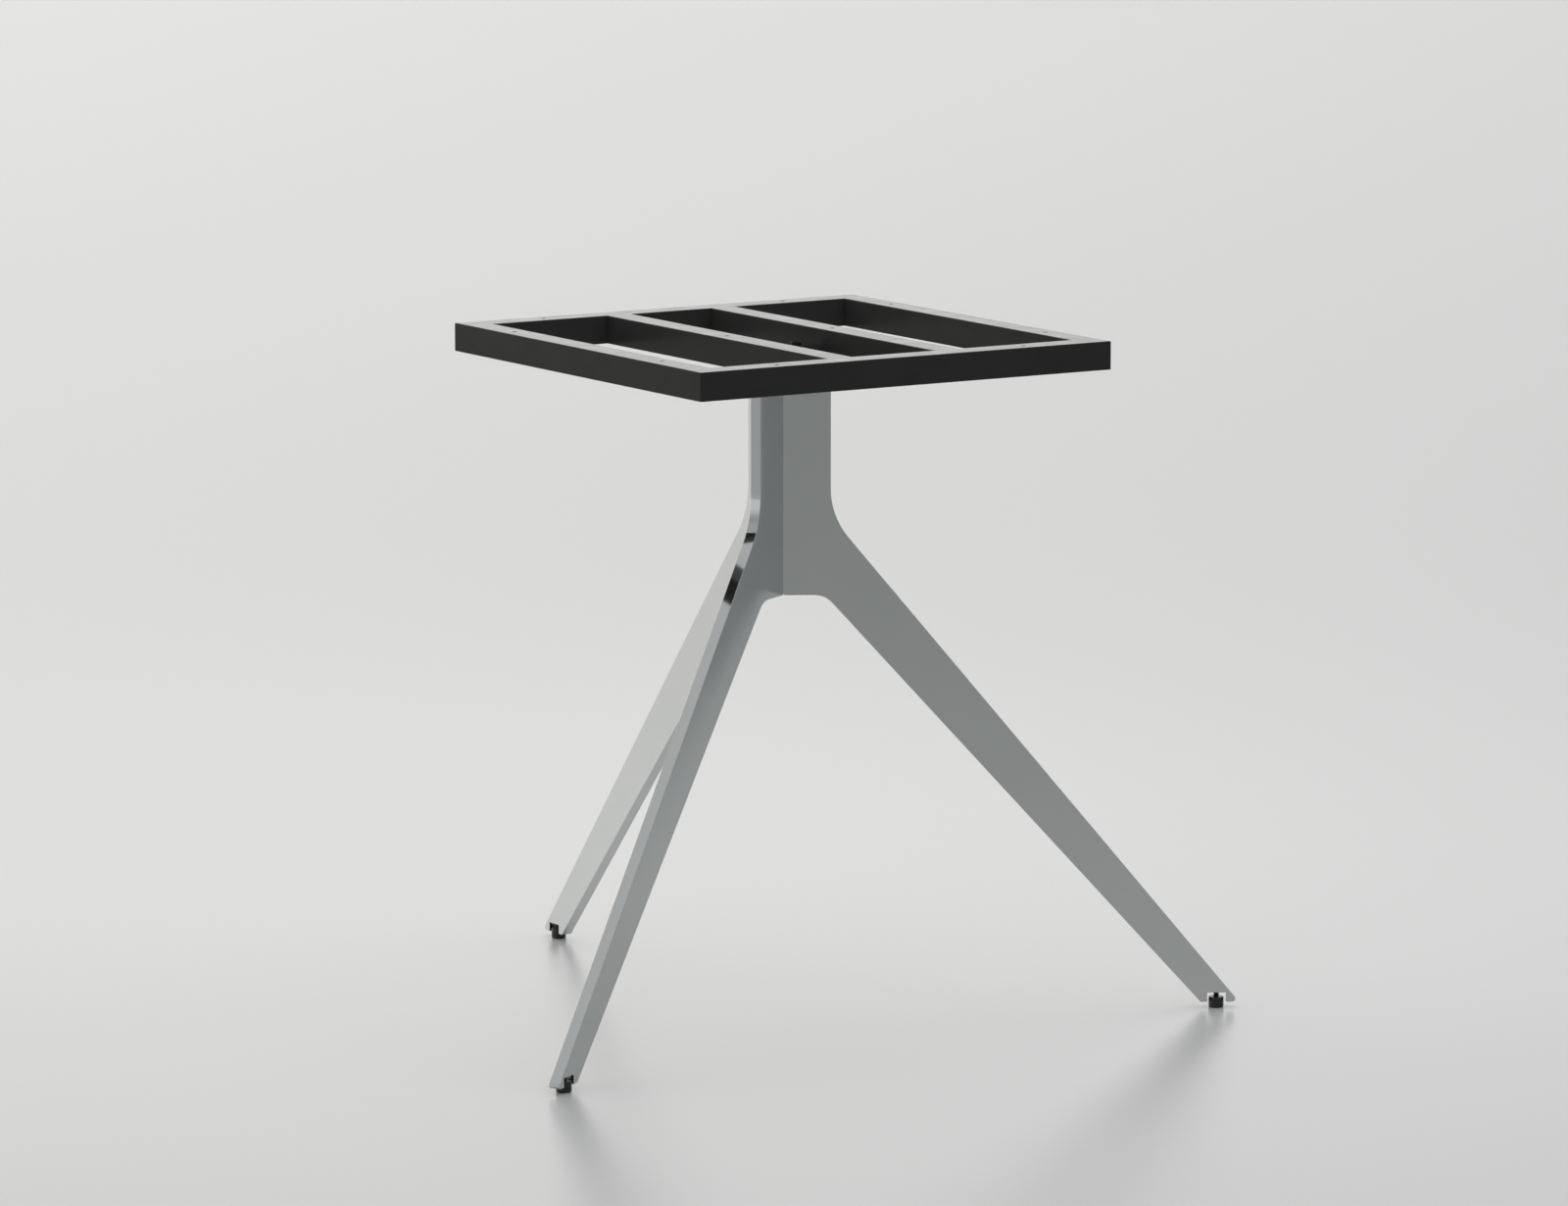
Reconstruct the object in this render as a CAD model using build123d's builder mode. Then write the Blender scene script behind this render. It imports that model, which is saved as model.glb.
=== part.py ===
from build123d import *
import math
import os

# A three-leg table base. Three flat steel plates are welded into a star: together they are the column,
# and each bends outwards into a leg with a levelling foot in a notch at its end. A head plate on the
# column is bolted to a seat plate in a frame of square tube, and the table top is screwed onto that frame.
# Millimetres, +Z up. The origin is the centre of the frame's top face.

# Whole base
overall_height = 726.0

# Frame of square tube
frame_side = 500.0
tube_size = 30.0
tube_wall = 2.0
tube_corner = 1.0
cross_rail_spacing = 130.0
top_screw_offset = 150.0
top_screw_hole = 5.0
driver_hole = 12.0

# Leg plates, measured from the column's axis outwards and from the frame's top downwards
plate_thickness = 12.0
plate_edge_radius = 0.3
column_reach = 53.5
knee_drop = 195.0
knee_radius = 80.0
crotch_drop = 279.0
crotch_reach = 47.5
crotch_radius = 25.0
weld_relief = 5.0

# Lower end of a leg, measured from the axis of its foot and from the floor
foot_reach = 465.0
toe_length = 24.0
toe_radius = 3.5
heel_length = 17.0
heel_radius = 1.5
leg_floor_gap = 6.5
notch_width = 20.0
notch_height = 10.0

# Levelling foot: a moulded glide on a threaded stud
glide_diameter = 16.0
glide_height = 11.5
glide_floor_radius = 1.6
glide_rim_radius = 0.5
stud_diameter = 6.0
stud_in_leg = 7.0
stud_in_glide = 7.0
stud_chamfer = 0.8
stud_lift = 4.5
stud_tip_gap = 0.5
running_clearance = 0.05

# Head plate on the column, seat plate between the cross rails, and what bolts them together
head_plate_thickness = 5.0
head_plate_margin = 4.5
head_plate_corner = 8.0
seat_plate_thickness = 5.0
bolt_reach = 36.0
bolt_diameter = 8.0
bolt_length = 20.0
bolt_head_width = 13.0
bolt_head_height = 5.3
bolt_hole = 9.0
bolt_chamfer = 0.8
washer_diameter = 16.0
washer_thickness = 1.6
nut_body_diameter = 11.0
nut_flange_diameter = 15.0
nut_flange_thickness = 1.0
nut_collar_diameter = 14.0
nut_collar_height = 3.2
nut_length = 16.0
nut_seat_gap = 0.5

# Levels and places that follow from the sizes above
floor_level = -overall_height
leg_end_level = floor_level + leg_floor_gap
notch_level = leg_end_level + notch_height
rail_level = -tube_size
plate_level = rail_level - head_plate_thickness
bolt_seat_level = plate_level - washer_thickness
rail_offset = (frame_side - tube_size) / 2
head_plate_side = 2 * (column_reach + head_plate_margin)
leg_sides = ("back", "left", "right")
leg_spread = 360 / len(leg_sides)
back_leg_angle = 90
leg_angles = {side: back_leg_angle + leg_spread * turn for turn, side in enumerate(leg_sides)}


def direction(angle):
    """The level unit vector at an angle about the column's axis."""
    return Vector(math.cos(math.radians(angle)), math.sin(math.radians(angle)), 0)


def foot_plane(angle, level):
    """A level plane on the axis of the foot that stands at this angle."""
    place = direction(angle) * foot_reach
    return Plane(origin=(place.X, place.Y, level))


def bolt_places():
    """The bolts' circle: one bolt in each of the column's three corners."""
    first_angle = back_leg_angle + leg_spread / 2
    return PolarLocations(bolt_reach, len(leg_sides), first_angle, rotate=False)


def save(builder, label):
    """Names a finished piece and writes it out."""
    builder.part.label = label
    export_step(builder.part, f"parts/{label}.step")


def tube_section():
    """The hollow square section of a rail, on the sketch in hand."""
    bore = tube_size - 2 * tube_wall
    RectangleRounded(tube_size, tube_size, tube_corner)
    Rectangle(bore, bore, mode=Mode.SUBTRACT)


def drill_for_top_screws(places):
    """Screw holes through a rail's top wall, each with a driver hole through the bottom wall."""
    with BuildSketch(Plane.XY) as screw_holes:
        with Locations(*places):
            Circle(top_screw_hole / 2)
    extrude(screw_holes.sketch, amount=-tube_wall, mode=Mode.SUBTRACT)
    with BuildSketch(Plane.XY.offset(rail_level)) as driver_holes:
        with Locations(*places):
            Circle(driver_hole / 2)
    extrude(driver_holes.sketch, amount=tube_wall, mode=Mode.SUBTRACT)


def outer_rail(angle):
    """One side of the frame, facing outwards at this angle and mitred at both ends."""
    outward = direction(angle)
    along = direction(angle + 90)
    middle = outward * rail_offset + Vector(0, 0, rail_level / 2)
    with BuildPart() as rail:
        with BuildSketch(Plane(origin=middle, x_dir=outward, z_dir=along)):
            tube_section()
        extrude(amount=frame_side / 2, both=True)
        for end in (1, -1):
            split(bisect_by=Plane(origin=(0, 0, 0), z_dir=along * end - outward), keep=Keep.BOTTOM)
        places = [outward * rail_offset + along * top_screw_offset * end for end in (1, -1)]
        drill_for_top_screws([(place.X, place.Y) for place in places])
    return rail


def cross_rail(x):
    """A rail between the front and the back of the frame, with one screw for the table top."""
    with BuildPart() as rail:
        with BuildSketch(Plane.XZ):
            with Locations((x, rail_level / 2)):
                tube_section()
        extrude(amount=frame_side / 2 - tube_size, both=True)
        drill_for_top_screws([(x, 0)])
    return rail


def seat_plate():
    """The plate welded between the cross rails, flush with them below, that carries the rivet nuts."""
    with BuildPart() as plate:
        with BuildSketch(Plane.XY.offset(rail_level)):
            Rectangle(cross_rail_spacing - tube_size, head_plate_side)
            with bolt_places():
                Circle(nut_body_diameter / 2, mode=Mode.SUBTRACT)
        extrude(amount=seat_plate_thickness)
        fillet(plate.edges().filter_by(Axis.X), plate_edge_radius)
    return plate


def leg_plate(angle):
    """A leg with its third of the column, cut from flat plate and brought to a point at the axis."""
    outward = direction(angle)
    thickness_way = direction(angle - 90)
    toe = (foot_reach + toe_length, leg_end_level)
    heel = (foot_reach - heel_length, leg_end_level)
    shoulder = (column_reach, plate_level)
    knee = (column_reach, -knee_drop)
    crotch = (crotch_reach, -crotch_drop)
    root = (0, -crotch_drop)
    corner_radii = {knee: knee_radius, crotch: crotch_radius, toe: toe_radius, heel: heel_radius}

    with BuildPart() as leg:
        with BuildSketch(Plane(origin=(0, 0, 0), x_dir=outward, z_dir=thickness_way)) as outline:
            with BuildLine():
                Polyline((0, plate_level), shoulder, knee, toe, heel, crotch, root, close=True)
            make_face()
            for corner, radius in corner_radii.items():
                fillet(outline.vertices().sort_by_distance((*corner, 0))[0], radius)
            chamfer(outline.vertices().sort_by_distance((*root, 0))[0], weld_relief)
            with Locations((foot_reach, leg_end_level)):
                Rectangle(notch_width, 2 * notch_height, mode=Mode.SUBTRACT)
        extrude(amount=plate_thickness / 2, both=True)
        sides = leg.faces().filter_by(Axis((0, 0, 0), thickness_way))
        free_edges = sides.edges().filter_by(lambda edge: edge.center().dot(outward) > weld_relief)
        free_edges -= free_edges.group_by(Axis.Z)[-1]
        fillet(free_edges, plate_edge_radius)
        for hand in (1, -1):
            mitre_way = direction(angle + hand * (leg_spread / 2 + 90))
            split(bisect_by=Plane(origin=(0, 0, 0), z_dir=mitre_way), keep=Keep.BOTTOM)
        with BuildSketch(foot_plane(angle, notch_level)):
            Circle(stud_diameter / 2 + running_clearance)
        extrude(amount=stud_in_leg + stud_lift + stud_tip_gap, mode=Mode.SUBTRACT)
    return leg


def glide(angle):
    """The moulded foot that stands on the floor and grips the stud's lower end."""
    with BuildPart() as foot:
        with BuildSketch(foot_plane(angle, floor_level)):
            Circle(glide_diameter / 2)
        extrude(amount=glide_height)
        fillet(foot.edges().group_by(Axis.Z)[0], glide_floor_radius)
        fillet(foot.edges().group_by(Axis.Z)[-1], glide_rim_radius)
        with BuildSketch(foot_plane(angle, floor_level + glide_height)):
            Circle(stud_diameter / 2 + running_clearance)
        extrude(amount=-stud_in_glide, mode=Mode.SUBTRACT)
    return foot


def stud(angle):
    """The threaded stud between a glide and its leg."""
    lower_end = floor_level + glide_height - stud_in_glide
    upper_end = notch_level + stud_in_leg
    with BuildPart() as screw:
        with BuildSketch(foot_plane(angle, lower_end)):
            Circle(stud_diameter / 2)
        extrude(amount=upper_end - lower_end)
        chamfer(screw.edges().group_by(Axis.Z)[-1], stud_chamfer)
    return screw


def head_plate():
    """The square plate on top of the column, which also laps under the two cross rails."""
    with BuildPart() as plate:
        with BuildSketch(Plane.XY.offset(plate_level)):
            RectangleRounded(head_plate_side, head_plate_side, head_plate_corner)
            with bolt_places():
                Circle(bolt_hole / 2, mode=Mode.SUBTRACT)
        extrude(amount=head_plate_thickness)
        with BuildSketch(Plane.XY.offset(rail_level)):
            with bolt_places():
                Circle(nut_flange_diameter / 2 + nut_seat_gap)
        extrude(amount=-nut_flange_thickness - nut_seat_gap, mode=Mode.SUBTRACT)
        bottom_rim = plate.faces().sort_by(Axis.Z)[0].outer_wire().edges()
        fillet(bottom_rim, plate_edge_radius)
    return plate


def rivet_nuts():
    """Nuts set in the seat plate: flange below, collapsed collar and thread above."""
    flange = nut_flange_diameter / 2
    flange_level = rail_level - nut_flange_thickness
    body = nut_body_diameter / 2
    collar = nut_collar_diameter / 2
    collar_level = rail_level + seat_plate_thickness
    collar_top = collar_level + nut_collar_height
    nut_top = rail_level + nut_length
    with BuildPart() as nut:
        with BuildSketch(Plane.XZ):
            with BuildLine():
                Polyline(
                    (0, flange_level),
                    (flange, flange_level),
                    (flange, rail_level),
                    (body, rail_level),
                    (body, collar_level),
                    (collar, collar_level),
                )
                RadiusArc((body, collar_top), (collar, collar_level), nut_collar_height)
                Polyline((body, collar_top), (body, nut_top), (0, nut_top), (0, flange_level))
            make_face()
        revolve(axis=Axis.Z)
        with Locations((0, 0, nut_top)):
            Hole(bolt_diameter / 2 + running_clearance)
    with BuildPart() as nuts:
        with bolt_places():
            add(nut.part)
    return nuts


def washers():
    """Flat washers between the bolt heads and the head plate."""
    with BuildPart() as rings:
        with BuildSketch(Plane.XY.offset(bolt_seat_level)):
            with bolt_places():
                Circle(washer_diameter / 2)
                Circle(bolt_diameter / 2 + running_clearance, mode=Mode.SUBTRACT)
        extrude(amount=washer_thickness)
    return rings


def head_bolts():
    """Hexagon bolts that go up through the head plate into the rivet nuts."""
    with BuildPart() as bolts:
        with BuildSketch(Plane.XY.offset(bolt_seat_level)):
            with bolt_places():
                RegularPolygon(bolt_head_width / 2, 6, major_radius=False)
        extrude(amount=-bolt_head_height)
        with BuildSketch(Plane.XY.offset(bolt_seat_level)):
            with bolt_places():
                Circle(bolt_diameter / 2)
        extrude(amount=bolt_length)
        chamfer(bolts.edges().group_by(Axis.Z)[-1], bolt_chamfer)
    return bolts


os.makedirs("parts", exist_ok=True)

for side, angle in {"front": 270, "right": 0, "back": 90, "left": 180}.items():
    save(outer_rail(angle), f"{side}_rail")
for side, x in {"left": -cross_rail_spacing / 2, "right": cross_rail_spacing / 2}.items():
    save(cross_rail(x), f"{side}_cross_rail")

save(seat_plate(), "seat_plate")
save(head_plate(), "head_plate")
save(rivet_nuts(), "rivet_nuts")
save(washers(), "washers")
save(head_bolts(), "head_bolts")

for side, angle in leg_angles.items():
    save(leg_plate(angle), f"{side}_leg")
    save(stud(angle), f"{side}_stud")
    save(glide(angle), f"{side}_glide")
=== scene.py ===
# %% [markdown]
# # A three-leg table base
#
# Three flat steel plates stand edge to edge around one axis. Together they are the column, and each one
# bends outwards into a leg. A frame of black square tube is bolted on top, ready for a table top. The
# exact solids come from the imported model, so this lesson adds what the solids leave out: finishes,
# threads, welds, light and a view.

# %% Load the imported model
import math

import bpy
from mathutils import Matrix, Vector


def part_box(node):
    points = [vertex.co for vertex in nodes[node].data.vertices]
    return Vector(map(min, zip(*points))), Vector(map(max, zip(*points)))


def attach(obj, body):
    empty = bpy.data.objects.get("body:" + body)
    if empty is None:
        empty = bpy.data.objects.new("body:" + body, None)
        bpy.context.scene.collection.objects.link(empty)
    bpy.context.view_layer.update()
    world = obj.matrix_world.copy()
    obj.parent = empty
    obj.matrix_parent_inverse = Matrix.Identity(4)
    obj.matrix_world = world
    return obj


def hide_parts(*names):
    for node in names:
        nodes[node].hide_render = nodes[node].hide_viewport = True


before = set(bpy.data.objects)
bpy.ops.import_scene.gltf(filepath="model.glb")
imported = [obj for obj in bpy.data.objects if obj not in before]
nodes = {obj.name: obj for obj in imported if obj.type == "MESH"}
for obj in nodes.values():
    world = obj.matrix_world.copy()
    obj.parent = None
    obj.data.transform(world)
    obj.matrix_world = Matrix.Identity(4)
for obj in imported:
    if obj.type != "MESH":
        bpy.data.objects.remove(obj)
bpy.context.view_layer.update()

# %% [markdown]
# ## Measures
#
# The levels of the floor, the head plate and the feet could be typed in, but they are read from the
# solids, so the pieces below follow if the base changes its size. Everything is in metres, with the
# origin at the middle of the frame's top face. The legs stand a third of a turn apart, so an angle
# about the column's axis places what belongs to a leg.

# %% Read the levels from the solids
mm = 0.001
leg_angles = {"back": 90, "left": 210, "right": 330}
floor_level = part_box("left_glide")[0].z
head_plate_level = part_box("head_plate")[0].z
plate_low, plate_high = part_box("back_leg")
plate_thickness = plate_high.x - plate_low.x


def outwards(angle):
    """The level unit vector at an angle about the column's axis."""
    return Vector((math.cos(math.radians(angle)), math.sin(math.radians(angle)), 0))


print("floor at", round(floor_level, 4), "head plate's underside at", round(head_plate_level, 4))

# %% [markdown]
# ## Finishes
#
# A finish is a node material. Each one starts from the same shader and differs in colour, in how much
# it blurs a reflection, and in the fine relief of its surface. The patterns read object coordinates,
# because every piece sits at the origin with its place in its mesh: a pattern then keeps its scale and
# stays put when the piece moves.

# %% A finish and its pattern
def new_finish(name):
    """A new node material, with its tree and its shader."""
    material = bpy.data.materials.new(name)
    material.use_nodes = True
    return material, material.node_tree, material.node_tree.nodes["Principled BSDF"]


def noise(tree, grain, stretch=(1, 1, 1), detail=2.0):
    """A noise pattern whose grain has about this size in metres, stretched by a factor along each axis."""
    place = tree.nodes.new("ShaderNodeTexCoord")
    mapping = tree.nodes.new("ShaderNodeMapping")
    mapping.inputs["Scale"].default_value = [1 / factor for factor in stretch]
    pattern = tree.nodes.new("ShaderNodeTexNoise")
    pattern.inputs["Scale"].default_value = 1 / grain
    pattern.inputs["Detail"].default_value = detail
    tree.links.new(place.outputs["Object"], mapping.inputs["Vector"])
    tree.links.new(mapping.outputs["Vector"], pattern.inputs["Vector"])
    return pattern.outputs["Fac"]


# %% [markdown]
# A pattern drives a number, a colour or the relief. Noise seldom comes near 0 or 1, so the middle of
# its range is spread over all that a finish asks for.

# %% What a pattern drives
noise_low = 0.3
noise_high = 0.7


def vary(tree, pattern, socket, low, high):
    """Lets a shader's number run from low to high with a pattern."""
    spread = tree.nodes.new("ShaderNodeMapRange")
    spread.inputs["From Min"].default_value = noise_low
    spread.inputs["From Max"].default_value = noise_high
    spread.inputs["To Min"].default_value = low
    spread.inputs["To Max"].default_value = high
    tree.links.new(pattern, spread.inputs["Value"])
    tree.links.new(spread.outputs["Result"], socket)


def tint(tree, shader, pattern, darker, lighter):
    """Lets a shader's colour run from a darker to a lighter tone with a pattern."""
    ramp = tree.nodes.new("ShaderNodeValToRGB")
    ramp.color_ramp.elements[0].position = noise_low
    ramp.color_ramp.elements[1].position = noise_high
    ramp.color_ramp.elements[0].color = (*darker, 1)
    ramp.color_ramp.elements[1].color = (*lighter, 1)
    tree.links.new(pattern, ramp.inputs["Fac"])
    tree.links.new(ramp.outputs["Color"], shader.inputs["Base Color"])


def relief(tree, shader, pattern, height, strength):
    """Raises a pattern by a height in metres, as seen in the way the surface shines."""
    bump = tree.nodes.new("ShaderNodeBump")
    bump.inputs["Distance"].default_value = height
    bump.inputs["Strength"].default_value = strength
    tree.links.new(pattern, bump.inputs["Height"])
    tree.links.new(bump.outputs["Normal"], shader.inputs["Normal"])


# %% [markdown]
# The legs are polished steel plate, so most of their tone is reflected light. The narrow edges were cut
# and then buffed bright, and they mirror the frame sharply. The broad sides were only ground, and blur
# what they mirror. Two materials would have to be put on the faces one by one, so one material does
# both: it compares the surface's direction with the way across the plate, which differs from leg to
# leg, so each leg has its own. Faint hand marks change the blur, and very fine polishing lines run up
# the plate.

# %% Polished steel for the legs
def facing(tree, direction):
    """How squarely the surface faces a direction or its opposite: 1 square on, 0 edge on."""
    place = tree.nodes.new("ShaderNodeTexCoord")
    along = tree.nodes.new("ShaderNodeVectorMath")
    along.operation = "DOT_PRODUCT"
    along.inputs[1].default_value = direction
    either_way = tree.nodes.new("ShaderNodeMath")
    either_way.operation = "ABSOLUTE"
    tree.links.new(place.outputs["Normal"], along.inputs[0])
    tree.links.new(along.outputs["Value"], either_way.inputs[0])
    return either_way.outputs["Value"]


def polished_steel(side, angle):
    """Steel plate with bright edges and softer broad sides, for the leg at this angle."""
    material, tree, shader = new_finish(f"{side}_leg_steel")
    shader.inputs["Metallic"].default_value = 1.0
    polishing_lines = noise(tree, grain=0.4 * mm, stretch=(1, 1, 60))
    hand_marks = noise(tree, grain=45 * mm, detail=4.0)
    tint(tree, shader, hand_marks, darker=(0.675, 0.692, 0.692), lighter=(0.695, 0.71, 0.708))
    relief(tree, shader, polishing_lines, height=0.001 * mm, strength=0.2)
    edge_to_side = tree.nodes.new("ShaderNodeMix")
    tree.links.new(facing(tree, outwards(angle + 90)), edge_to_side.inputs["Factor"])
    vary(tree, hand_marks, edge_to_side.inputs["A"], low=0.05, high=0.07)
    vary(tree, hand_marks, edge_to_side.inputs["B"], low=0.16, high=0.19)
    tree.links.new(edge_to_side.outputs["Result"], shader.inputs["Roughness"])
    return material


def give(material, *names):
    """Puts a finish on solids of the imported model."""
    for name in names:
        for slot in nodes[name].material_slots:
            slot.material = material
    print(material.name, "on", ", ".join(names))


for side, angle in leg_angles.items():
    give(polished_steel(side, angle), f"{side}_leg")

# %% [markdown]
# The frame and its plates have a satin black powder coat. The powder melts into a skin with a faint
# orange-peel relief, about a millimetre from bump to bump. Seen at a low angle the skin shines
# strongly, which is why the top of the frame looks light grey, and seen straight on it hardly shines,
# so its index of refraction is low. The relief is only a hundredth of a millimetre high and never shows
# in an outline, so a bump is enough for it.

# %% Powder coat for the frame
def powder_coat():
    """Satin black powder coat."""
    material, tree, shader = new_finish("black_powder_coat")
    shader.inputs["IOR"].default_value = 1.14
    orange_peel = noise(tree, grain=0.9 * mm, detail=1.0)
    cloudiness = noise(tree, grain=30 * mm, detail=3.0)
    tint(tree, shader, cloudiness, darker=(0.034, 0.034, 0.033), lighter=(0.038, 0.038, 0.037))
    vary(tree, cloudiness, shader.inputs["Roughness"], low=0.2, high=0.24)
    relief(tree, shader, orange_peel, height=0.01 * mm, strength=0.25)
    return material


coat = powder_coat()
give(coat, "front_rail", "back_rail", "left_rail", "right_rail")
give(coat, "left_cross_rail", "right_cross_rail", "seat_plate", "head_plate")

# %% [markdown]
# The glides are moulded black nylon: matt, with the fine texture of the mould. Their studs and the
# rivet nuts are blackened steel. The hidden bolts and washers are zinc plated, which is cloudier than
# the legs. One dark material for all the small parts would look like one moulding, so each kind has its
# own.

# %% Nylon, blackened steel and zinc plate
def moulded_nylon():
    """Black nylon with the texture of its mould."""
    material, tree, shader = new_finish("black_nylon")
    mould_texture = noise(tree, grain=0.25 * mm, detail=3.0)
    tint(tree, shader, mould_texture, darker=(0.011, 0.011, 0.011), lighter=(0.016, 0.016, 0.016))
    vary(tree, mould_texture, shader.inputs["Roughness"], low=0.28, high=0.36)
    relief(tree, shader, mould_texture, height=0.02 * mm, strength=0.3)
    return material


def blackened_steel():
    """Black oxide on steel, under an uneven film of oil."""
    material, tree, shader = new_finish("blackened_steel")
    oil_film = noise(tree, grain=1.5 * mm, detail=3.0)
    tint(tree, shader, oil_film, darker=(0.010, 0.010, 0.011), lighter=(0.018, 0.018, 0.019))
    vary(tree, oil_film, shader.inputs["Roughness"], low=0.32, high=0.45)
    return material


def zinc_plate():
    """Zinc plate with a cloudy passivation."""
    material, tree, shader = new_finish("zinc_plate")
    shader.inputs["Metallic"].default_value = 1.0
    passivation = noise(tree, grain=2.5 * mm, detail=4.0)
    tint(tree, shader, passivation, darker=(0.56, 0.57, 0.58), lighter=(0.66, 0.665, 0.65))
    vary(tree, passivation, shader.inputs["Roughness"], low=0.24, high=0.36)
    return material


nylon = moulded_nylon()
black_steel = blackened_steel()
zinc = zinc_plate()
give(nylon, *[f"{side}_glide" for side in leg_angles])
give(black_steel, "rivet_nuts")
give(zinc, "washers")

# %% [markdown]
# ## Modelling helpers
#
# Operators act on whatever is selected, so every step starts by deselecting. Faces and edges are picked
# by where they are, as one would click them, and two shapes are combined with a Boolean modifier that
# is applied at once.

# %% Add, edit and combine
def add(primitive, **sizes):
    """Adds a primitive at its size and place, with that place kept in its mesh."""
    bpy.ops.object.select_all(action="DESELECT")
    primitive(**sizes)
    bpy.ops.object.transform_apply(location=True, rotation=True, scale=True)
    return bpy.context.object


def edit(piece, part="vertices", wanted=lambda element: True):
    """Opens a mesh in edit mode with its wanted vertices, edges or polygons selected, or all of them."""
    bpy.context.view_layer.objects.active = piece
    bpy.ops.object.mode_set(mode="EDIT")
    bpy.ops.mesh.select_mode(type={"vertices": "VERT", "edges": "EDGE", "polygons": "FACE"}[part])
    bpy.ops.mesh.select_all(action="DESELECT")
    bpy.ops.object.mode_set(mode="OBJECT")
    for element in getattr(piece.data, part):
        element.select = wanted(element)
    bpy.ops.object.mode_set(mode="EDIT")


def close_edit():
    """Leaves edit mode."""
    bpy.ops.object.mode_set(mode="OBJECT")


def combine(piece, operation, tool):
    """Joins a piece with a second shape, or keeps what both have in common. The second shape is used up."""
    step = piece.modifiers.new("combine", "BOOLEAN")
    step.operation = operation
    step.object = tool
    bpy.context.view_layer.objects.active = piece
    bpy.ops.object.modifier_apply(modifier=step.name)
    bpy.data.objects.remove(tool)


# %% [markdown]
# What repeats is modelled once and copied, each copy with its own mesh. A Boolean leaves points that
# lie almost on each other, with slivers between them, so a finished piece is cut into triangles and
# cleaned. Then it gets its name, its finish and the body that carries it.

# %% Copy, join, clean and dress
merge_gap = 0.002 * mm
sharp_angle = math.radians(32)


def pick(*pieces):
    """Selects these pieces alone, and makes the first one active."""
    bpy.ops.object.select_all(action="DESELECT")
    for piece in pieces:
        piece.select_set(True)
    bpy.context.view_layer.objects.active = pieces[0]


def copy_of(piece, turn=0.0, move=(0, 0, 0)):
    """A copy with its own mesh, turned about the column's axis and then moved."""
    pick(piece)
    bpy.ops.object.duplicate()
    twin = bpy.context.object
    twin.rotation_euler.z = math.radians(turn)
    twin.location = move
    bpy.ops.object.transform_apply(location=True, rotation=True, scale=True)
    return twin


def join(pieces):
    """Makes one object of several."""
    pick(*pieces)
    bpy.ops.object.join()
    return pieces[0]


def clean(piece):
    """Cuts all faces into triangles, merges points that almost meet, and drops the slivers between them."""
    edit(piece)
    bpy.ops.mesh.quads_convert_to_tris()
    bpy.ops.mesh.remove_doubles(threshold=merge_gap)
    bpy.ops.mesh.dissolve_degenerate(threshold=merge_gap)
    close_edit()


def dress(piece, name, material, body):
    """Cleans and names a finished piece, gives it its finish and lets it ride on a body."""
    clean(piece)
    piece.name = name
    piece.data.materials.clear()
    piece.data.materials.append(material)
    pick(piece)
    bpy.ops.object.shade_smooth_by_angle(angle=sharp_angle)
    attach(piece, body)
    print(name, "has", len(piece.data.polygons), "faces and rides on", body)


# %% [markdown]
# ## Threads
#
# A screw thread is a V-shaped ridge that winds around a core. It could be a bump texture, but a bump
# has no outline and is lost in close views. Here a triangle is wound up with the Screw modifier and
# joined with the core, and a chamfered blank of the thread's outer size then trims the crests and both
# ends, as a die does on a real stud. Core and blank are both round bars.

# %% A round bar with chamfered ends
facets = 48
square_on = 0.9


def chamfer_ends(piece, axis, offset):
    """Bevels the rims of the faces that look along an axis: 0 is X, 1 is Y and 2 is Z."""
    edit(piece, "polygons", lambda face: abs(face.normal[axis]) > square_on)
    bpy.ops.mesh.region_to_loop()
    bpy.ops.mesh.bevel(offset=offset, segments=1, affect="EDGES")
    close_edit()


def round_bar(diameter, low, high, chamfer=0.0):
    """A round bar between two levels on the upright axis, with chamfered ends if asked."""
    middle = (0, 0, (low + high) / 2)
    bar = add(bpy.ops.mesh.primitive_cylinder_add, vertices=facets, radius=diameter / 2,
              depth=high - low, location=middle)
    if chamfer:
        chamfer_ends(bar, 2, chamfer)
    return bar


# %% [markdown]
# All threads of this kind have the same profile, whatever their size. So the depth of the core, the
# height of the untrimmed crest and the width of the ridge's foot are given in pitches. Ridge and core
# start a little below the bar and end a little above it, and the blank trims both.

# %% A threaded bar along the upright axis
core_depth = 0.613
crest_height = 0.108
ridge_width = 0.96


def thread_ridge(diameter, pitch, low, high):
    """The ridge: a triangle with a 60 degree crest, wound one turn a pitch and closed at both ends."""
    size = ridge_width * pitch / math.sqrt(3)
    crest = diameter / 2 + crest_height * pitch
    upright = (math.radians(90), math.radians(90), 0)
    ridge = add(bpy.ops.mesh.primitive_circle_add, vertices=3, radius=size, rotation=upright)
    edit(ridge)
    bpy.ops.transform.translate(value=(crest - size, 0, low))
    close_edit()
    winding = ridge.modifiers.new("winding", "SCREW")
    winding.axis = "Z"
    winding.screw_offset = pitch
    winding.iterations = math.ceil((high - low) / pitch)
    winding.steps = winding.render_steps = facets
    bpy.ops.object.modifier_apply(modifier=winding.name)
    edit(ridge, "edges")
    bpy.ops.mesh.fill_holes(sides=3)
    bpy.ops.mesh.normals_make_consistent(inside=False)
    close_edit()
    return ridge


def threaded_bar(diameter, pitch, low, high, chamfer):
    """A threaded bar between two levels."""
    bar = thread_ridge(diameter, pitch, low - pitch, high + pitch)
    core = round_bar(diameter - 2 * core_depth * pitch, low - 2 * pitch, high + 2 * pitch)
    combine(bar, "UNION", core)
    combine(bar, "INTERSECT", round_bar(diameter, low, high, chamfer))
    return bar


# %% [markdown]
# Each levelling foot is screwed into its leg with such a stud. A short neck of thread shows between the
# glide and the notch in the leg. On the real foot the stud turns with the glide, so the new stud rides
# on the glide and turns as the foot is set. It is modelled once on the upright axis and copied to the
# three feet.

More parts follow.
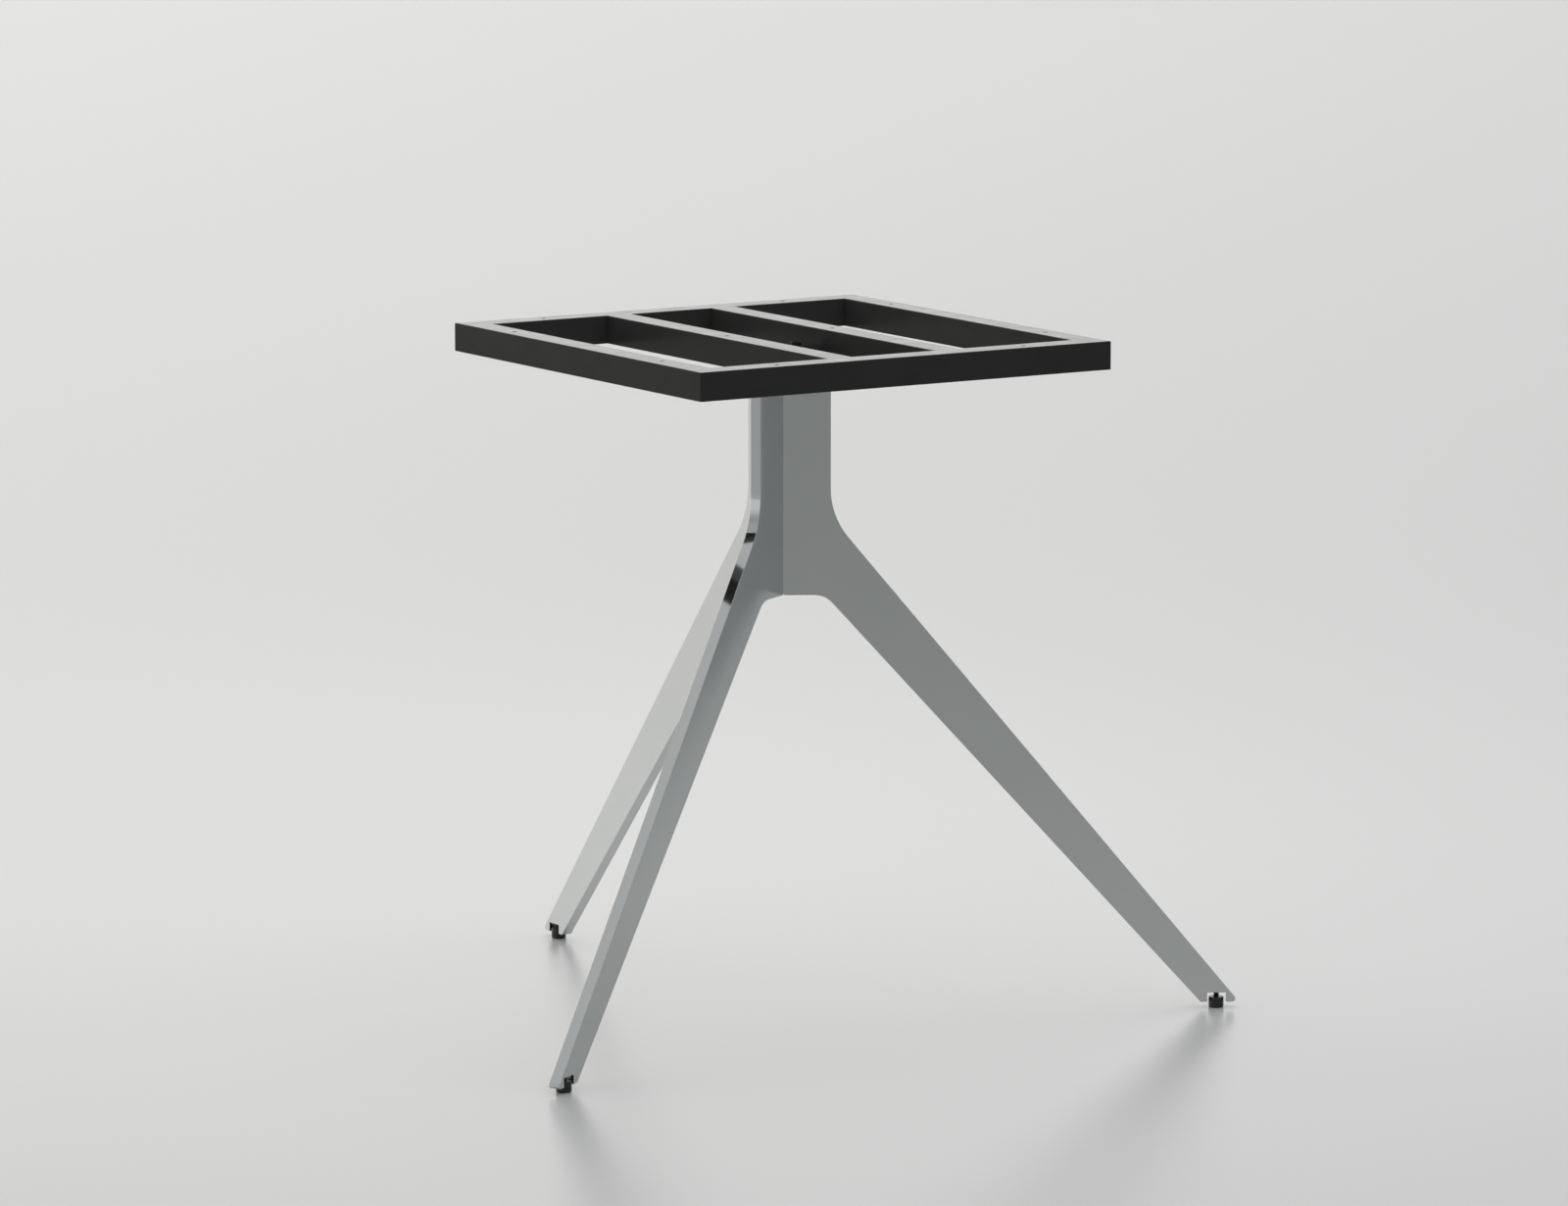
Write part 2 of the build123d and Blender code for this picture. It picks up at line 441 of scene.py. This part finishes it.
# %% Threaded studs for the feet
stud_pitch = 1.0 * mm
stud_chamfer = 0.8 * mm
stud_low, stud_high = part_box("left_stud")
stud_pattern = threaded_bar(stud_high.x - stud_low.x, stud_pitch, stud_low.z, stud_high.z, stud_chamfer)
for side in leg_angles:
    low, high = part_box(f"{side}_stud")
    foot_axis = (low + high) / 2
    stud = copy_of(stud_pattern, move=(foot_axis.x, foot_axis.y, 0))
    dress(stud, f"{side}_threaded_stud", black_steel, f"{side}_glide")
    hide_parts(f"{side}_stud")
bpy.data.objects.remove(stud_pattern)

# %% [markdown]
# ## Bolts
#
# Three hexagon bolts, one in each corner of the column's star, hold the head plate to the seat plate
# above it. A bolt head is turned before its flats are milled, which leaves a shallow cone across its
# corners. A six-sided bar that is intersected with a wide flat cone gets just those curved corners,
# which a plain bevel would not give. The thread starts inside the head, so that the two shapes overlap
# where they are joined.

# %% Hexagon bolts under the head plate
bolt_diameter = 8 * mm
bolt_pitch = 1.25 * mm
bolt_chamfer = 0.8 * mm
head_width = 13 * mm
head_height = 5.3 * mm
head_corner = head_width / math.sqrt(3)
cone_face = 0.95 * head_width / 2
cone_slope = math.tan(math.radians(60))
bolts_low, bolts_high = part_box("head_bolts")
bolt_reach = -bolts_low.y - head_width / 2
thread_start = bolts_low.z + 0.7 * head_height


def hexagon_head():
    """The head on the upright axis, with its cone on the lower side."""
    middle = (0, 0, bolts_low.z + head_height / 2)
    head = add(bpy.ops.mesh.primitive_cylinder_add, vertices=6, radius=head_corner, depth=head_height,
               location=middle, rotation=(0, 0, math.radians(30)))
    cone = add(bpy.ops.mesh.primitive_cone_add, vertices=2 * facets, radius1=cone_face,
               radius2=cone_face + cone_slope * head_height, depth=head_height, location=middle)
    combine(head, "INTERSECT", cone)
    return head


bolt = hexagon_head()
combine(bolt, "UNION", threaded_bar(bolt_diameter, bolt_pitch, thread_start, bolts_high.z, bolt_chamfer))
bolts = join([copy_of(bolt, move=-bolt_reach * outwards(angle)) for angle in leg_angles.values()])
bpy.data.objects.remove(bolt)
dress(bolts, "hexagon_bolts", zinc, "base")
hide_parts("head_bolts")

# %% [markdown]
# ## Welds
#
# A weld fills the corner between two faces with a rippled bead. It could be a smooth bar with a bump,
# but the ripples show in its outline. So a bead starts as a round bar with many rings. Every second
# ring is drawn in, which gives the ripples, by a little more or less each time because a hand guides
# the torch. Two cuts then leave only the quarter that lies in the corner, and a little that bites into
# both faces.

# %% A weld bead
bead_radius = 3.4 * mm
bead_facets = 24
bead_bite = 0.2 * mm
ripple = 1.7 * mm
ripple_draw = 0.86
ripple_change = 0.03
end_draw = 0.6
ring_slack = ripple / 8


def cut(piece, point, kept):
    """Cuts a piece with a plane, keeps the side that the plane's direction points to, and fills the cut."""
    edit(piece)
    bpy.ops.mesh.bisect(plane_co=point, plane_no=kept, clear_inner=True, use_fill=True)
    close_edit()


def weld_bead(start, end, level, way):
    """A bead along +X, in the corner between a wall at y = 0 and a plate's face at this level.

    It lies on top of the plate's face where way is 1, and under it where way is -1.
    """
    length = end - start
    bead = add(bpy.ops.mesh.primitive_cylinder_add, vertices=bead_facets, radius=bead_radius, depth=length,
               location=((start + end) / 2, 0, level), rotation=(0, math.radians(90), 0))
    points = bead.data.vertices
    rings = 2 * round(length / ripple)

    def runs_along(edge):
        first, last = edge.vertices
        return abs(points[first].co.x - points[last].co.x) > ripple

    edit(bead, "edges", runs_along)
    bpy.ops.mesh.subdivide(number_cuts=rings - 1)
    close_edit()
    for ring in range(0, rings + 1, 2):
        place = start + length * ring / rings
        draw = end_draw if ring in (0, rings) else ripple_draw + ripple_change * math.sin(ring)
        edit(bead, "vertices", lambda vertex: abs(vertex.co.x - place) < ring_slack)
        bpy.ops.transform.resize(value=(1, draw, draw))
        close_edit()
    cut(bead, point=(0, -bead_bite, 0), kept=(0, 1, 0))
    cut(bead, point=(0, 0, level - way * bead_bite), kept=(0, 0, way))
    return bead


# %% [markdown]
# One weld runs around the column's star, under the head plate, and carries the same black coat as the
# plate. Two long beads follow the sides of each steel plate and a short one closes its outer end. Both
# kinds are modelled once, and the nine beads are turned copies of them. The column's reach is written
# out here, because the box of a leg ends at its foot and not at the column.

# %% Beads around the column, under the head plate
column_reach = 53.5 * mm
side_start = plate_thickness / 2 / math.tan(math.radians(60))
side_end = column_reach + bead_radius / 2
half_end = (plate_thickness + bead_radius) / 2
long_bead = weld_bead(side_start, side_end, head_plate_level, -1)
short_bead = weld_bead(-half_end, half_end, head_plate_level, -1)
beads = []
for angle in leg_angles.values():
    along = outwards(angle)
    across = outwards(angle + 90) * plate_thickness / 2
    beads.append(copy_of(long_bead, turn=angle, move=across))
    beads.append(copy_of(long_bead, turn=angle + 180, move=along * (side_start + side_end) - across))
    beads.append(copy_of(short_bead, turn=angle - 90, move=along * column_reach))
for pattern in (long_bead, short_bead):
    bpy.data.objects.remove(pattern)
dress(join(beads), "head_weld", coat, "base")

# %% [markdown]
# The seat plate is welded between the two cross rails. A short run of weld at each of its corners is
# enough, and keeps the frame from warping. The beads lie on top of the plate, two along each rail. A
# bead that is turned by 90 degrees runs to the back and one that is turned by -90 to the front, so it
# starts at the plate's corner or one run away from it.

# %% Beads between the seat plate and the cross rails
seat_run = 34 * mm
seat_low, seat_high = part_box("seat_plate")
seat_bead = weld_bead(0, seat_run, seat_high.z, 1)
beads = []
for rail_face, turn in ((seat_high.x, 90), (seat_low.x, -90)):
    for corner in (seat_low.y, seat_high.y):
        start = corner if corner * turn < 0 else corner - math.copysign(seat_run, corner)
        beads.append(copy_of(seat_bead, turn=turn, move=(rail_face, start, 0)))
bpy.data.objects.remove(seat_bead)
dress(join(beads), "seat_weld", coat, "base")

# %% [markdown]
# Where a cross rail meets the front or the back rail, the rounded edge of that rail leaves a small
# groove. On the real frame it is filled with weld and ground flush, so the coat runs over the joint
# with no line. The filling is a square bar as wide as the rail's flat. One slanted cut leaves the half
# that shows, and the half that would be buried in the rail goes. Top and bottom each get one, and the
# other three joints get copies.

# %% Welds that are ground flush
tube_corner = 1 * mm
end_bevel = 0.2 * mm
rail_low, rail_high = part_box("left_cross_rail")
rail_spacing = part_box("right_cross_rail")[0].x - rail_low.x


def ground_weld(level, way):
    """The filling at the front end of the left cross rail, in its upper groove or its lower one."""
    middle = ((rail_low.x + rail_high.x) / 2, rail_low.y - tube_corner / 2, level - way * tube_corner / 2)
    size = (rail_high.x - rail_low.x - 2 * tube_corner, tube_corner, tube_corner)
    weld = add(bpy.ops.mesh.primitive_cube_add, size=1, location=middle, scale=size)
    cut(weld, point=middle, kept=(0, 1, way))
    chamfer_ends(weld, 0, end_bevel)
    return weld


welds = []
for level, way in ((rail_high.z, 1), (rail_low.z, -1)):
    front_left = ground_weld(level, way)
    front_right = copy_of(front_left, move=(rail_spacing, 0, 0))
    welds += [front_left, front_right, copy_of(front_left, turn=180), copy_of(front_right, turn=180)]
dress(join(welds), "ground_welds", coat, "base")

# %% [markdown]
# ## Floor
#
# The base stands on a plain pale floor. It is smooth enough to show a soft reflection below the feet,
# which seats them on it, and the legs in turn mirror it. It is one very large plane, so that none of
# its edges comes into view.

# %% Lay the floor
floor_span = 90.0
floor_grey = (0.54, 0.54, 0.535, 1)
floor_blur = 0.3


def sealed_floor():
    """A plain pale floor with a soft gloss."""
    material, _, shader = new_finish("sealed_floor")
    shader.inputs["Base Color"].default_value = floor_grey
    shader.inputs["Roughness"].default_value = floor_blur
    return material


floor = add(bpy.ops.mesh.primitive_plane_add, size=floor_span, location=(0, 0, floor_level))
floor.name = "floor"
floor.data.materials.append(sealed_floor())
print("floor of", floor_span, "m")

# %% [markdown]
# ## Light
#
# Polished metal shows its surroundings more than its own colour, so the light is planned as
# surroundings. Low down they are bright behind the base, grey at its sides and dark behind the camera.
# Higher up a broad soft light comes from behind the camera, under a calm ceiling. The light from behind
# the base is a little warm and that from the camera's side a little cool. Many lamps and screens could
# do this, but a world that changes with direction leaves nothing to hide.
#
# Two numbers describe a direction: how far it turns to the bright side, from -1 to 1, and how high it
# points. Each blend has a start and an end in one of them, and a light level or another blend at each
# end.

# %% Blend two light levels
def blend(tree, value, limits, before, after):
    """Blends from one light level to another while a value goes between two limits."""
    step = tree.nodes.new("ShaderNodeMapRange")
    step.interpolation_type = "SMOOTHSTEP"
    step.inputs["From Min"].default_value, step.inputs["From Max"].default_value = limits
    tree.links.new(value, step.inputs["Value"])
    mix = tree.nodes.new("ShaderNodeMix")
    tree.links.new(step.outputs["Result"], mix.inputs["Factor"])
    for socket, level in (("A", before), ("B", after)):
        if isinstance(level, float):
            mix.inputs[socket].default_value = level
        else:
            tree.links.new(level, mix.inputs[socket])
    return mix.outputs["Result"]


# %% [markdown]
# First come the light levels, low down and higher up, and then the limits between which one level turns
# into the next. A turn is measured towards the bright side and a rise is measured upwards.

# %% Surround the base with soft light
bright_side = Vector((-0.26, 0.966, 0)).normalized()
front_hue = (0.955, 0.985, 1.0)
back_hue = (1.0, 0.975, 0.945)
back_low = 2.16
side_low = 0.3
front_low = 0.08
front_high = 1.5
side_high = 0.45
ceiling_level = 0.55
low_turn = (-0.6, -0.1)
high_turn = (-0.8, 0.0)
back_turn = (-0.05, 0.9)
side_rise = (0.25, 0.6)
back_rise = (0.15, 0.45)
ceiling_rise = (0.6, 0.85)


def world_light():
    """The surroundings: a light level and a hue for every direction."""
    world = bpy.data.worlds.new("soft_room")
    bpy.context.scene.world = world
    world.use_nodes = True
    tree = world.node_tree
    background = tree.nodes["Background"]
    direction = tree.nodes.new("ShaderNodeTexCoord").outputs["Generated"]
    towards_light = tree.nodes.new("ShaderNodeVectorMath")
    towards_light.operation = "DOT_PRODUCT"
    towards_light.inputs[1].default_value = bright_side
    tree.links.new(direction, towards_light.inputs[0])
    upwards = tree.nodes.new("ShaderNodeSeparateXYZ")
    tree.links.new(direction, upwards.inputs["Vector"])
    backness = towards_light.outputs["Value"]
    height = upwards.outputs["Z"]
    low_ring = blend(tree, backness, low_turn, front_low, side_low)
    high_ring = blend(tree, backness, high_turn, front_high, side_high)
    sides = blend(tree, height, side_rise, low_ring, high_ring)
    back = blend(tree, height, back_rise, back_low, sides)
    walls = blend(tree, backness, back_turn, sides, back)
    room = blend(tree, height, ceiling_rise, walls, ceiling_level)
    tree.links.new(room, background.inputs["Strength"])
    hue = tree.nodes.new("ShaderNodeValToRGB")
    hue.color_ramp.elements[0].color = (*front_hue, 1)
    hue.color_ramp.elements[1].color = (*back_hue, 1)
    tree.links.new(backness, hue.inputs["Fac"])
    tree.links.new(hue.outputs["Color"], background.inputs["Color"])


world_light()
print("light low down: back", back_low, "sides", side_low, "front", front_low)
print("light higher up: front", front_high, "sides", side_high, "ceiling", ceiling_level)

# %% [markdown]
# One soft lamp overhead makes the floor brightest around the feet. A small lamp would draw hard shadows
# and a bright spot on the steel, so it is a wide disk.

# %% Hang a soft lamp overhead
lamp_power = 20.0
lamp_width = 2.2
lamp_height = 2.3
lamp_place = Vector((0.3, 0.5, floor_level + lamp_height))
lamp_data = bpy.data.lights.new("overhead_softbox", "AREA")
lamp_data.shape = "DISK"
lamp_data.size = lamp_width
lamp_data.energy = lamp_power
lamp = bpy.data.objects.new("overhead_softbox", lamp_data)
lamp.location = lamp_place
bpy.context.scene.collection.objects.link(lamp)
print("lamp of", lamp_power, "W,", lamp_height, "m above the floor")

# %% [markdown]
# ## Camera
#
# The view was taken with a long lens from about eight and a half metres away, a metre above the frame.
# A camera close by would make the frame's sides run together more than they do there, so it stands just
# as far off here.

# %% Place the camera
camera_place = (-4.439336, -7.126287, 1.012073)
heading = -31.951
tilt_down = 8.803
focal_length = 184.822
sensor_width = 36.0
view_depth = 200.0
camera_data = bpy.data.cameras.new("camera")
camera_data.sensor_width = sensor_width
camera_data.lens = focal_length
camera_data.clip_end = view_depth
camera = bpy.data.objects.new("camera", camera_data)
camera.location = camera_place
camera.rotation_euler = (math.radians(90 - tilt_down), 0, math.radians(heading))
bpy.context.scene.collection.objects.link(camera)
bpy.context.scene.camera = camera
bpy.context.scene.view_settings.view_transform = "Standard"
print("camera at", tuple(round(value, 3) for value in camera.location))
